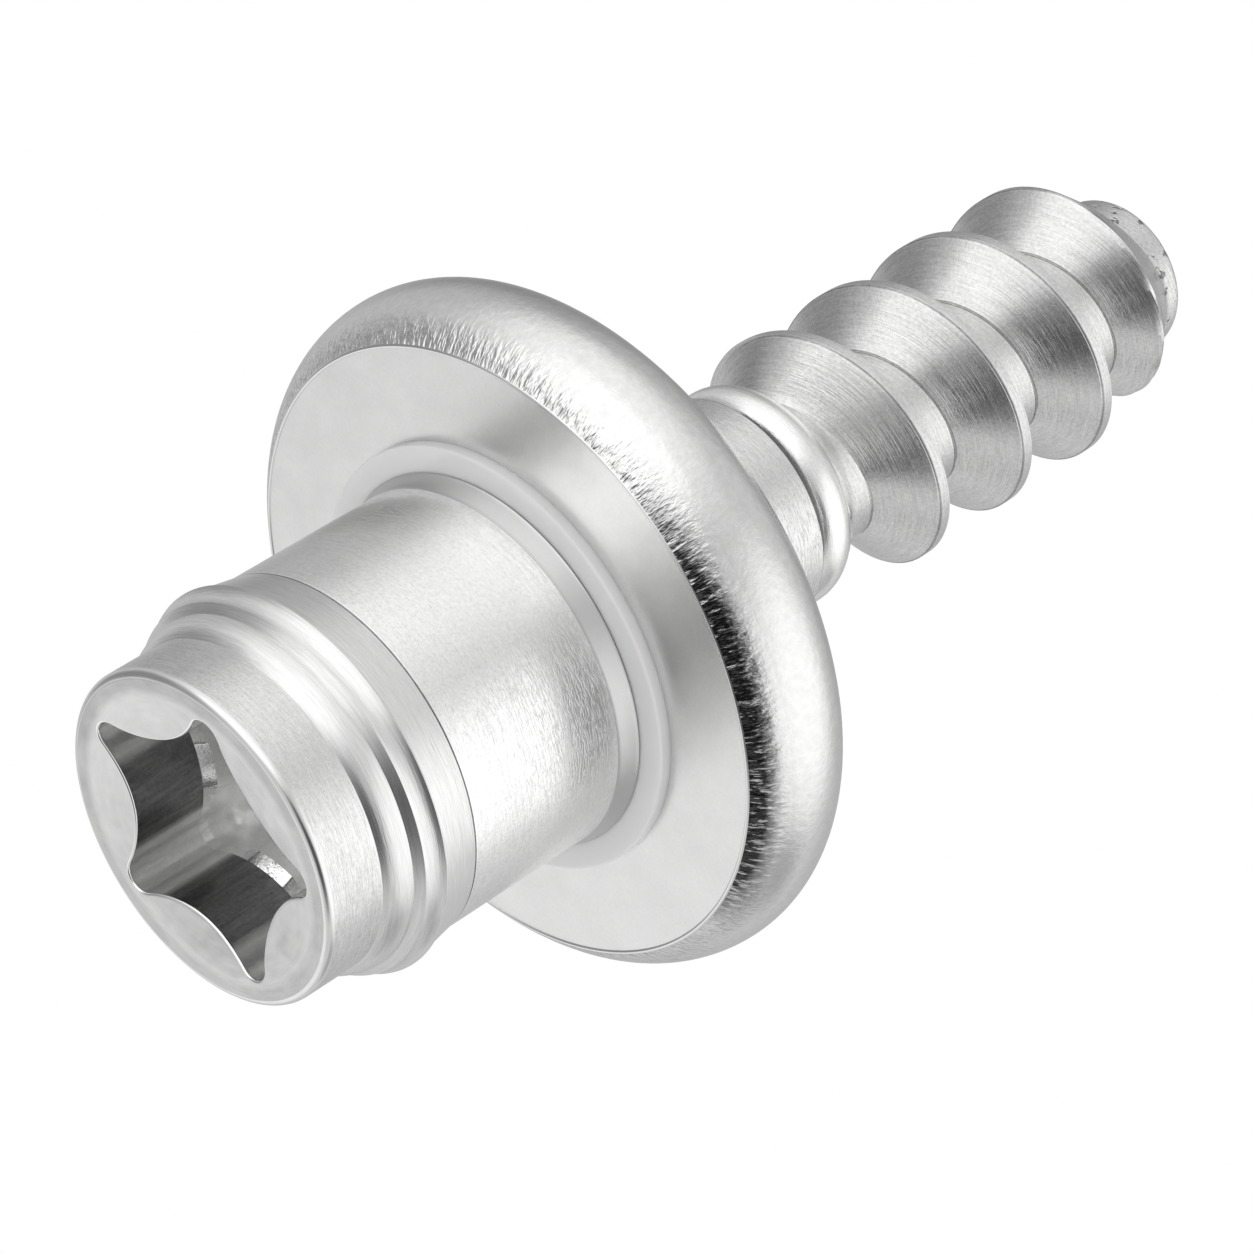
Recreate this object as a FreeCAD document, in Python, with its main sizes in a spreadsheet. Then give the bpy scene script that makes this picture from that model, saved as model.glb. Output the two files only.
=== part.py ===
"""Captive panel screw: a flanged shoulder screw with a coarse thread for plastic, and its plastic ring.

The screw stands on its head. Z is its axis and runs from the face of the head up to the tip, and the
origin is the centre of that face. All sizes are millimetres.
"""

import FreeCAD, Part
import math
import os

import Sketcher

# Driving sizes, each written once. Heights are lengths along the axis, stacked on one another below.
SIZES = {
    "head_diameter": 8.0,
    "head_height": 1.92,
    "head_edge_bevel": 0.17,
    "collar_lip": 0.24,
    "collar_flank": 0.6,
    "collar_foot_bevel": 0.1,
    "collar_crest": 0.3,
    "collar_crest_bevel": 0.08,
    "collar_back_step": 0.06,
    "collar_cone": 1.02,
    "shoulder_diameter": 8.84,
    "shoulder_length": 5.19,
    "flare_height": 0.4,
    "flare_width": 0.16,
    "flange_diameter": 16.6,
    "flange_thickness": 3.02,
    "rim_front_draw": 0.8,
    "rim_back_round": 1.5,
    "neck_diameter": 5.68,
    "neck_length": 4.58,
    "neck_foot_bevel": 0.5,
    "groove_width": 0.14,
    "groove_depth": 0.49,
    "bead_width": 1.15,
    "bead_height": 0.45,
    "shank_step": 0.08,
    "shank_length": 0.5,
    "thread_diameter": 6.5,
    "thread_depth": 1.25,
    "thread_length": 12.28,
    "thread_pitch": 2.96,
    "thread_crest": 0.22,
    "thread_front_flank": 1.1,
    "thread_back_flank": 0.9,
    "thread_first_crest": 2.79,
    "thread_start_taper": 1.3,
    "thread_nose": 2.1,
    "ridge_sink": 0.3,
    "ridge_overrun": 0.08,
    "tip_bevel": 0.25,
    "socket_diameter": 6.72,
    "socket_lobe_depth": 1.08,
    "socket_lobe_round": 0.4,
    "socket_depth": 3.15,
    "socket_turn": 18.3,
    "ring_width": 0.74,
    "ring_thickness": 0.3,
    "ring_edge_bevel": 0.1,
    "ring_clearance": 0.04,
}
SOCKET_LOBES = 5

# Two lengths that differ by less than this, in millimetres, count as the same
SAME_LENGTH = 1e-4

doc = FreeCAD.newDocument("captive_panel_screw")
sheet = doc.addObject("Spreadsheet::Sheet", "Sizes")
for row, (alias, value) in enumerate(SIZES.items(), start=1):
    sheet.set("A%d" % row, alias)
    sheet.set("B%d" % row, str(value))
    sheet.setAlias("B%d" % row, alias)
doc.recompute()


def radius_of(alias):
    """Return half of a diameter in the sheet, as an expression."""
    return "Sizes.%s / 2" % alias


def above(height, alias):
    """Return the height that lies one size above another height, as an expression."""
    return "%s + Sizes.%s" % (height, alias)


def number(expression):
    """Return the present value of an expression."""
    value = sheet.evalExpression(expression)
    return float(getattr(value, "Value", value))


# Heights along the axis
COLLAR_FOOT = "Sizes.head_height"
COLLAR_TOP = above(COLLAR_FOOT, "collar_flank")
COLLAR_BACK = above(COLLAR_TOP, "collar_crest")
SHOULDER_START = above(COLLAR_BACK, "collar_cone")
FLANGE_FACE = above(SHOULDER_START, "shoulder_length")
FLANGE_BACK = above(FLANGE_FACE, "flange_thickness")
RIM_MIDDLE = FLANGE_BACK + " - Sizes.rim_back_round"
NECK_END = above(FLANGE_BACK, "neck_length")
BEAD_START = above(NECK_END, "groove_width")
BEAD_END = above(BEAD_START, "bead_width")
ROOT_START = above(BEAD_END, "shank_length")
TIP_END = above(ROOT_START, "thread_length")
BEVEL_START = TIP_END + " - Sizes.tip_bevel"
RING_TOP = FLANGE_FACE + " - Sizes.ring_thickness"
FLARE_TOP = RING_TOP + " - Sizes.ring_clearance"
FLARE_START = FLARE_TOP + " - Sizes.flare_height"

# Radii
HEAD = radius_of("head_diameter")
SHOULDER = radius_of("shoulder_diameter")
COLLAR = above(SHOULDER, "collar_lip")
FLARE = above(SHOULDER, "flare_width")
FLANGE = radius_of("flange_diameter")
FLANGE_FLAT = FLANGE + " - Sizes.rim_front_draw"
NECK = radius_of("neck_diameter")
GROOVE = NECK + " - Sizes.groove_depth"
CREST = radius_of("thread_diameter")
ROOT = CREST + " - Sizes.thread_depth"
SHANK = above(ROOT, "shank_step")
TIP = ROOT + " - Sizes.tip_bevel"
SOCKET = radius_of("socket_diameter")
BORE = above(SHOULDER, "ring_clearance")
RING = above(BORE, "ring_width")


def tangent_radius(run, rise):
    """Return the radius of an arc that starts along a line and leaves it by rise over a length run."""
    return "((%s) ^ 2 + (%s) ^ 2) / (2 * (%s))" % (run, rise, rise)


def new_body(label):
    body = doc.addObject("PartDesign::Body", label)
    body.Label = label
    return body


def new_sketch(body, name, role):
    """Start a sketch on one of a body's own origin planes."""
    plane = next(feature for feature in body.Origin.OriginFeatures if feature.Role == role)
    sketch = body.newObject("Sketcher::SketchObject", name)
    sketch.AttachmentSupport = [(plane, "")]
    sketch.MapMode = "FlatFace"
    return sketch


def bind(sketch, constraint, expression):
    """Add a constraint whose value follows the sheet."""
    index = sketch.addConstraint(constraint)
    sketch.setExpression("Constraints[%d]" % index, expression)


def bowed(start, end, radius, side):
    """Return the short arc from start to end that bows out to its left (1) or its right (-1)."""
    half = start.distanceToPoint(end) / 2
    left = FreeCAD.Vector(start.y - end.y, end.x - start.x, 0).normalize()
    sag = radius - math.sqrt(max(radius ** 2 - half ** 2, 0.0))
    return Part.Arc(start, (start + end) * 0.5 + left * (sag * side), end)


def closed_outline(sketch, corners, arcs):
    """Draw a closed outline whose corners and radii are all held to the sheet.

    Each corner is a pair of expressions, radius and height. A side is a straight line unless arcs
    gives its radius and the side to which it bows, under the number of the corner it starts from.
    """
    places = [FreeCAD.Vector(number(x), number(y), 0) for x, y in corners]
    following = places[1:] + places[:1]
    for side, (start, end) in enumerate(zip(places, following)):
        if side in arcs:
            radius, bow = arcs[side]
            sketch.addGeometry(bowed(start, end, number(radius), bow), False)
        else:
            sketch.addGeometry(Part.LineSegment(start, end), False)
    # The sketcher keeps every arc anticlockwise, so some of them run from their end to their start
    tail_first = [
        sketch.getPoint(side, 1).distanceToPoint(place) > SAME_LENGTH for side, place in enumerate(places)]
    for side, reverse in enumerate(tail_first):
        start_point, end_point = (2, 1) if reverse else (1, 2)
        after = (side + 1) % len(corners)
        after_point = 2 if tail_first[after] else 1
        sketch.addConstraint(Sketcher.Constraint("Coincident", side, end_point, after, after_point))
        x, y = corners[side]
        for kind, axis, expression, value in (
            ("DistanceX", -2, x, places[side].x),
            ("DistanceY", -1, y, places[side].y),
        ):
            if expression == "0":
                sketch.addConstraint(Sketcher.Constraint("PointOnObject", side, start_point, axis))
            else:
                bind(sketch, Sketcher.Constraint(kind, -1, 1, side, start_point, value), expression)
        if side in arcs:
            bind(sketch, Sketcher.Constraint("Radius", side, number(arcs[side][0])), arcs[side][0])


def turned_body(label, corners, arcs):
    """Make a body whose first feature turns an outline about the Z axis."""
    body = new_body(label)
    sketch = new_sketch(body, label + "_outline", "XZ_Plane")
    closed_outline(sketch, corners, arcs)
    turned = body.newObject("PartDesign::Revolution", label + "_turned")
    turned.Profile = sketch
    turned.ReferenceAxis = (sketch, ["V_Axis"])
    turned.Angle = 360
    doc.recompute()
    return body, turned


def bevel_edge(body, base, name, alias, radius, height):
    """Bevel the circular edge at a radius and a height by a size from the sheet."""
    edges = []
    for index, edge in enumerate(base.Shape.Edges, start=1):
        if isinstance(edge.Curve, Part.Circle):
            off_radius = abs(edge.Curve.Radius - number(radius))
            off_height = abs(edge.Curve.Center.z - number(height))
            if max(off_radius, off_height) < SAME_LENGTH:
                edges.append("Edge%d" % index)
    bevel = body.newObject("PartDesign::Chamfer", name)
    bevel.Base = (base, edges)
    bevel.setExpression("Size", "Sizes." + alias)
    doc.recompute()
    return bevel


# Blank: head, collar, shoulder, flange, neck, bead and root, formed and turned as one piece of steel
blank_corners = [
    ("0", "0"),
    (HEAD, "0"),
    (HEAD, COLLAR_FOOT),
    (COLLAR, COLLAR_TOP),
    (COLLAR, COLLAR_BACK),
    (COLLAR + " - Sizes.collar_back_step", COLLAR_BACK),
    (SHOULDER, SHOULDER_START),
    (SHOULDER, FLARE_START),
    (FLARE, FLARE_TOP),
    (SHOULDER, FLARE_TOP),
    (SHOULDER, FLANGE_FACE),
    (FLANGE_FLAT, FLANGE_FACE),
    (FLANGE, RIM_MIDDLE),
    (FLANGE + " - Sizes.rim_back_round", FLANGE_BACK),
    (NECK, FLANGE_BACK),
    (NECK, NECK_END),
    (GROOVE, NECK_END),
    (GROOVE, BEAD_START),
    (GROOVE, BEAD_END),
    (SHANK, BEAD_END),
    (SHANK, ROOT_START),
    (ROOT, ROOT_START),
    (ROOT, BEVEL_START),
    (TIP, TIP_END),
    ("0", TIP_END),
]
blank_arcs = {
    blank_corners.index((FLANGE_FLAT, FLANGE_FACE)): (
        tangent_radius("Sizes.flange_thickness - Sizes.rim_back_round", "Sizes.rim_front_draw"), -1),
    blank_corners.index((FLANGE, RIM_MIDDLE)): ("Sizes.rim_back_round", -1),
    blank_corners.index((GROOVE, BEAD_START)): (
        tangent_radius("Sizes.bead_width / 2", "Sizes.bead_height"), -1),
}
blank, last = turned_body("blank", blank_corners, blank_arcs)
last = bevel_edge(blank, last, "head_edge", "head_edge_bevel", HEAD, "0")
last = bevel_edge(blank, last, "collar_foot", "collar_foot_bevel", HEAD, COLLAR_FOOT)
last = bevel_edge(blank, last, "collar_crest", "collar_crest_bevel", COLLAR, COLLAR_TOP)
last = bevel_edge(blank, last, "neck_foot", "neck_foot_bevel", NECK, FLANGE_BACK)


def socket_outline(sketch):
    """Draw the drive socket: rounded lobes joined by broad pads that bow towards the middle."""
    lobe_round = number("Sizes.socket_lobe_round")
    lobe_middle = number(SOCKET) - lobe_round
    waist = number(SOCKET + " - Sizes.socket_lobe_depth")
    half_turn = math.pi / SOCKET_LOBES
    reach = lobe_middle * math.cos(half_turn)
    # A pad's arc touches the arcs of both lobes beside it, which sets its radius
    pad_round = (lobe_middle ** 2 + waist ** 2 - 2 * reach * waist - lobe_round ** 2) / (
        2 * (lobe_round + reach - waist))
    pad_middle = waist + pad_round
    first_turn = math.radians(number("Sizes.socket_turn"))

    def place(radius, angle):
        return FreeCAD.Vector(radius * math.cos(angle), radius * math.sin(angle), 0)

    def touch(lobe, pad):
        return lobe + (pad - lobe) * (lobe_round / (lobe_round + pad_round))

    for lobe in range(SOCKET_LOBES):
        angle = first_turn + 2 * half_turn * lobe
        lobe_centre = place(lobe_middle, angle)
        next_lobe_centre = place(lobe_middle, angle + 2 * half_turn)
        pad_before = place(pad_middle, angle - half_turn)
        pad_after = place(pad_middle, angle + half_turn)
        lobe_end = touch(lobe_centre, pad_after)
        sketch.addGeometry(Part.Arc(touch(lobe_centre, pad_before), place(lobe_middle + lobe_round, angle), lobe_end))
        sketch.addGeometry(Part.Arc(lobe_end, place(waist, angle + half_turn), touch(next_lobe_centre, pad_after)))


socket_sketch = new_sketch(blank, "socket_outline", "XY_Plane")
socket_outline(socket_sketch)
solid_head = last.Shape.Volume
socket = blank.newObject("PartDesign::Pocket", "socket")
socket.Profile = socket_sketch
socket.setExpression("Length", "Sizes.socket_depth")
socket.Reversed = True
doc.recompute()
if socket.Shape.Volume >= solid_head:
    raise ValueError("the socket cuts nothing out of the head")
blank.Tip = socket

# Thread ridge: a trapezoid wound round the root, right-handed. It starts two pitches early and ends
# past the tip, with its top a little too high, and the limit below trims all of it.
FIRST_CREST = "(%s - 2 * Sizes.thread_pitch)" % above(BEAD_END, "thread_first_crest")
RIDGE_FOOT = ROOT + " - Sizes.ridge_sink"
RIDGE_TOP = above(CREST, "ridge_overrun")


def flank_height(side, alias, radius):
    """Return the height of the front (-1) or the back (1) flank of the first turn at a radius."""
    spread = "Sizes.thread_crest / 2 + Sizes.%s * (%s - (%s)) / Sizes.thread_depth" % (alias, CREST, radius)
    return "%s + (%d) * (%s)" % (FIRST_CREST, side, spread)


ridge = new_body("ridge")
ridge_sketch = new_sketch(ridge, "ridge_section", "XZ_Plane")
closed_outline(ridge_sketch, [
    (RIDGE_FOOT, flank_height(-1, "thread_front_flank", RIDGE_FOOT)),
    (RIDGE_TOP, flank_height(-1, "thread_front_flank", RIDGE_TOP)),
    (RIDGE_TOP, flank_height(1, "thread_back_flank", RIDGE_TOP)),
    (RIDGE_FOOT, flank_height(1, "thread_back_flank", RIDGE_FOOT)),
], {})
wound = ridge.newObject("PartDesign::AdditiveHelix", "wound_ridge")
wound.Profile = ridge_sketch
wound.ReferenceAxis = (ridge_sketch, ["V_Axis"])
wound.Mode = "pitch-height-angle"
wound.setExpression("Pitch", "Sizes.thread_pitch")
wound.setExpression("Height", "%s - %s + Sizes.thread_front_flank" % (TIP_END, FIRST_CREST))
wound.Angle = 0
wound.LeftHanded = False
wound.Reversed = False
doc.recompute()

# Limit of the ridge: it tapers up from the shank, keeps the crest's size and tapers off to the root
NOSE_START = BEVEL_START + " - Sizes.thread_nose"
limit_corners = [
    ("0", BEAD_END),
    (RIDGE_FOOT, BEAD_END),
    (CREST, above(BEAD_END, "thread_start_taper")),
    (CREST, NOSE_START),
    (RIDGE_FOOT, BEVEL_START),
    ("0", BEVEL_START),
]
limit, _ = turned_body("ridge_limit", limit_corners, {})

trimmed_ridge = doc.addObject("Part::Common", "trimmed_ridge")
trimmed_ridge.Base = ridge
trimmed_ridge.Tool = limit
screw = doc.addObject("Part::Fuse", "screw")
screw.Label = "screw"
screw.Base = blank
screw.Tool = trimmed_ridge
screw.Refine = True
doc.recompute()

# Plastic ring: it lies on the flange round the foot of the shoulder, held back by the small flare
plastic_ring, ring_turned = turned_body("plastic_ring", [
    (BORE, RING_TOP),
    (RING, RING_TOP),
    (RING, FLANGE_FACE),
    (BORE, FLANGE_FACE),
], {})
bevel_edge(plastic_ring, ring_turned, "ring_edge", "ring_edge_bevel", RING, RING_TOP)

doc.recompute()
for item in doc.Objects:
    if "Invalid" in item.State or "Error" in item.State:
        raise RuntimeError("%s failed: %s" % (item.Name, item.State))

os.makedirs("parts", exist_ok=True)
for piece in (screw, plastic_ring):
    shape = piece.Shape
    if shape.isNull() or not shape.isValid() or len(shape.Solids) != 1:
        raise RuntimeError("%s has no sound solid" % piece.Label)
    shape.exportStep("parts/%s.step" % piece.Label)
    box = shape.optimalBoundingBox(False, False)
    print("%s: %.2f mm3, %.3f to %.3f mm high, %.3f mm across" % (
        piece.Label, shape.Volume, box.ZMin, box.ZMax, box.XLength))
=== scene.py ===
"""Looks of the captive panel screw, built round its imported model.

The screw stands on its head, with Z as its axis and the origin at the centre of the head's face.
Sizes of the pieces are millimetres, times MM where they become metres. Floor and lamp are in metres.
"""

import math

import bmesh
import bpy
import numpy as np
from mathutils import Matrix, Vector


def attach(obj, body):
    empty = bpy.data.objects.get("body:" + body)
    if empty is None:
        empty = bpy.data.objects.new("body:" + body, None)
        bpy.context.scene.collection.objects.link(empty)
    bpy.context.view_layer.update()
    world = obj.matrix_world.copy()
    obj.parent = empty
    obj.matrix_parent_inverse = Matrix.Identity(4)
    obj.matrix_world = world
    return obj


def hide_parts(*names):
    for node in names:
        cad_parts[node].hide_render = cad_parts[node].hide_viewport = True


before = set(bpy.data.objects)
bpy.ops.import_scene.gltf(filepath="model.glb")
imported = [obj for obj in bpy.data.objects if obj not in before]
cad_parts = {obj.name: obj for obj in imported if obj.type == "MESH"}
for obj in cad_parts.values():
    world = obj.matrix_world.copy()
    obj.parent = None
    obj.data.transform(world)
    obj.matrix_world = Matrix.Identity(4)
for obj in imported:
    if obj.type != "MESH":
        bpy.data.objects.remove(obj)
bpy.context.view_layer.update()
MM = 0.001

# Drive socket: five rounded lobes pressed cold into the head, with broad pads bowing in between them.
# A shallow dish leads the driver in, so it leaves a crescent on each pad. The edge is slightly broken.
# The punch left a slanted step low on each pad's wall, which catches the light from outside.
COLUMNS = 250
LOBES = 5
SOCKET_RADIUS = 3.36
SOCKET_WAIST = 2.28
LOBE_ROUND = 0.4
FIRST_LOBE = math.radians(18.3)
SOCKET_DEPTH = 3.15
DISH_RADIUS = 3.5
DISH_DEPTH = 0.16
SOCKET_EDGE = 0.05
SOCKET_FOOT = 0.3
PAD_STEP_TOP = 2.08
PAD_STEP_FOOT = 2.34
PAD_STEP = 0.17
PAD_REACH = 2.56
PAD_FADE = 0.16
STEP_CORNER = 0.02
HEAD_RADIUS = 4.0
HEAD_EDGE = 0.17
DISH_BOW = 1.3
EVEN_LENGTHS = 0.65
FLOOR_RINGS = (0.12, 0.3, 0.5, 0.7, 0.86, 0.95, 1.0)
WALL_RINGS = (0.02, 0.35, 0.7, 0.96, 1.0)
FACE_RINGS = (0.03, 0.1, 0.2, 0.32, 0.46, 0.6, 0.74, 0.87, 0.97, 1.0)


def socket_outline():
    """Return the socket's outline as points and outward directions, one for each column."""
    half_turn = math.pi / LOBES
    lobe_middle = SOCKET_RADIUS - LOBE_ROUND
    reach = lobe_middle * math.cos(half_turn)
    pad_round = (lobe_middle ** 2 + SOCKET_WAIST ** 2 - 2 * reach * SOCKET_WAIST - LOBE_ROUND ** 2) / (
        2 * (LOBE_ROUND + reach - SOCKET_WAIST))
    pad_middle = SOCKET_WAIST + pad_round
    pad = pad_middle * np.exp(1j * half_turn)
    touch = lobe_middle + (pad - lobe_middle) * LOBE_ROUND / (LOBE_ROUND + pad_round)
    lobe_end = np.angle(touch - lobe_middle)
    pad_turn = np.angle((pad - touch) / pad)
    steps = 2000
    lobe_angles = np.linspace(-lobe_end, lobe_end, steps)
    pad_angles = half_turn + math.pi + np.linspace(pad_turn, -pad_turn, steps)
    path = np.concatenate([
        lobe_middle + LOBE_ROUND * np.exp(1j * lobe_angles),
        (pad + pad_round * np.exp(1j * pad_angles))[1:-1],
    ])
    outward = np.concatenate([np.exp(1j * lobe_angles), -np.exp(1j * pad_angles)[1:-1]])
    turns = np.exp(1j * (FIRST_LOBE + 2 * half_turn * np.arange(LOBES)))
    path = (turns[:, None] * path[None, :]).ravel()
    outward = (turns[:, None] * outward[None, :]).ravel()
    # Columns are shared between even angles and even lengths of the outline, so lobes get enough of them
    angle = np.unwrap(np.angle(path))
    length = np.concatenate([[0.0], np.cumsum(np.abs(np.diff(path)))])
    length /= length[-1] + abs(path[0] - path[-1])
    share = (1 - EVEN_LENGTHS) * (angle - angle[0]) / (2 * math.pi) + EVEN_LENGTHS * length
    start = np.interp(0.0, angle - 2 * math.pi, share - 1.0) % 1.0
    wanted = (np.arange(COLUMNS) / COLUMNS + start) % 1.0
    share = np.append(share, 1.0)
    path = np.append(path, path[0])
    outward = np.append(outward, outward[0])
    places = np.interp(wanted, share, path.real) + 1j * np.interp(wanted, share, path.imag)
    ways = np.interp(wanted, share, outward.real) + 1j * np.interp(wanted, share, outward.imag)
    return places, ways / np.abs(ways)


def dish(radius):
    """Return how deep the lead-in dish is at a radius."""
    inside = np.clip((DISH_RADIUS - radius) / (DISH_RADIUS - SOCKET_WAIST), 0.0, 1.0)
    return DISH_DEPTH * inside ** DISH_BOW


def turned(radius):
    """Return one ring of points round the axis."""
    return radius * np.exp(2j * math.pi * np.arange(COLUMNS) / COLUMNS)


def socket_rings():
    """Return the rings of points from the middle of the socket's floor out to the head's edge."""
    outline, outward = socket_outline()
    # Below the step the wall stands further in, but only on the pads
    on_pad = np.clip((PAD_REACH - np.abs(outline)) / PAD_FADE, 0.0, 1.0)
    stepped = outline - PAD_STEP * on_pad * outward
    rings = []
    for share in FLOOR_RINGS:
        rings.append(("socket_floor", (stepped - SOCKET_FOOT * outward) * share, SOCKET_DEPTH))
    for turn in np.radians(np.linspace(0, 90, 6))[1:]:
        inset = SOCKET_FOOT * (1 - math.sin(turn))
        risen = SOCKET_FOOT * (1 - math.cos(turn))
        rings.append(("socket_floor", stepped - inset * outward, SOCKET_DEPTH - risen))
    top = dish(np.abs(outline))
    for height in (SOCKET_DEPTH - SOCKET_FOOT - STEP_CORNER, PAD_STEP_FOOT + STEP_CORNER, PAD_STEP_FOOT):
        rings.append(("socket_floor", stepped, height))
    rings.append(("socket_step", outline, PAD_STEP_TOP))
    for share in WALL_RINGS:
        rings.append(("socket_wall", outline, PAD_STEP_TOP + (top + SOCKET_EDGE - PAD_STEP_TOP) * share))
    for turn in np.radians(np.linspace(0, 90, 5))[1:]:
        grown = outline + SOCKET_EDGE * (1 - math.cos(turn)) * outward
        depth = dish(np.abs(grown)) + SOCKET_EDGE * (1 - math.sin(turn))
        rings.append(("socket_edge", grown, depth))
    rim = turned(HEAD_RADIUS - HEAD_EDGE)
    for share in FACE_RINGS:
        place = grown + (rim - grown) * share
        rings.append(("head_face", place, dish(np.abs(place))))
    return rings


# Turned blank: one piece of steel, cold formed and then turned from the head to the shank behind the bead.
# Its outline is straight stretches and arcs, each with the finish that its tool or the tumbling left.
HEAD_SIDE = (0.6, 1.1, 1.5)
COLLAR_FOOT = 1.92
COLLAR_FOOT_ROUND = 0.85
COLLAR_RADIUS = 4.66
COLLAR_TOP = 2.52
COLLAR_TOP_ROUND = 0.58
COLLAR_BACK = 2.82
COLLAR_BACK_ROUND = 0.03
COLLAR_STEP = 0.06
SHOULDER_RADIUS = 4.42
SHOULDER_START = 3.84
START_GROOVE = 0.025
START_GROOVE_DEPTH = 0.015
SHOULDER_MIDDLE = 6.1
SHOULDER_END = 8.2
FLARE_START = 8.29
FLARE_TOP = 8.69
FLARE_RADIUS = 4.58
FLARE_CORNER = 0.03
FLANGE_FACE = 9.03
FLANGE_FLAT = 7.5
LIP = 0.1
LIP_ROUND = 0.055
FLANGE_RADIUS = 8.3
RIM_MIDDLE = 10.55
FLANGE_BACK = 12.05
RIM_BACK_ROUND = 1.5
NECK_RADIUS = 2.84
NECK_FOOT_ROUND = 0.5
NECK_START = 13.05
NECK_END = 16.63
NECK_EDGE = 0.04
GROOVE_RADIUS = 2.35
GROOVE_ROUND = 0.03
BEAD_START = 16.77
BEAD_END = 17.92
BEAD_RADIUS = 2.8
SHANK_RADIUS = 2.08
SLIGHT_STEP = 0.01


def arc(start, end, radius, side, steps):
    """Return points on the short arc from start to end that bows to its left (1) or its right (-1)."""
    start = complex(*start)
    end = complex(*end)
    half = abs(end - start) / 2
    along = (end - start) / abs(end - start)
    middle = (start + end) / 2 - along * 1j * side * math.sqrt(max(radius ** 2 - half ** 2, 0.0))
    first = np.angle(start - middle)
    sweep = np.angle((end - middle) / (start - middle))
    points = middle + radius * np.exp(1j * (first + sweep * np.linspace(0, 1, steps + 1)))
    return [(point.real, point.imag) for point in points]


def rounded(corners, steps=7):
    """Return an outline whose corners, given as radius, height and round, are replaced by arcs."""
    points = []
    for number, (radius, height, fillet) in enumerate(corners):
        here = complex(radius, height)
        if fillet == 0:
            points.append((radius, height))
            continue
        before = complex(*corners[number - 1][:2]) - here
        after = complex(*corners[number + 1][:2]) - here
        turn = np.angle(after / before)
        reach = fillet / math.tan(abs(turn) / 2)
        start = here + before / abs(before) * reach
        end = here + after / abs(after) * reach
        points += arc((start.real, start.imag), (end.real, end.imag), fillet, -np.sign(turn), steps)
    return points


def held_flat(points, hold=0.04):
    """Add a point close to each end of every long straight side, so that shading leaves it flat."""
    result = [points[0]]
    for start, end in zip(points, points[1:]):
        length = math.dist(start, end)
        if length > 4 * hold:
            for share in (hold / length, 1 - hold / length):
                result.append(tuple(a + (b - a) * share for a, b in zip(start, end)))
        result.append(end)
    return result


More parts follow.
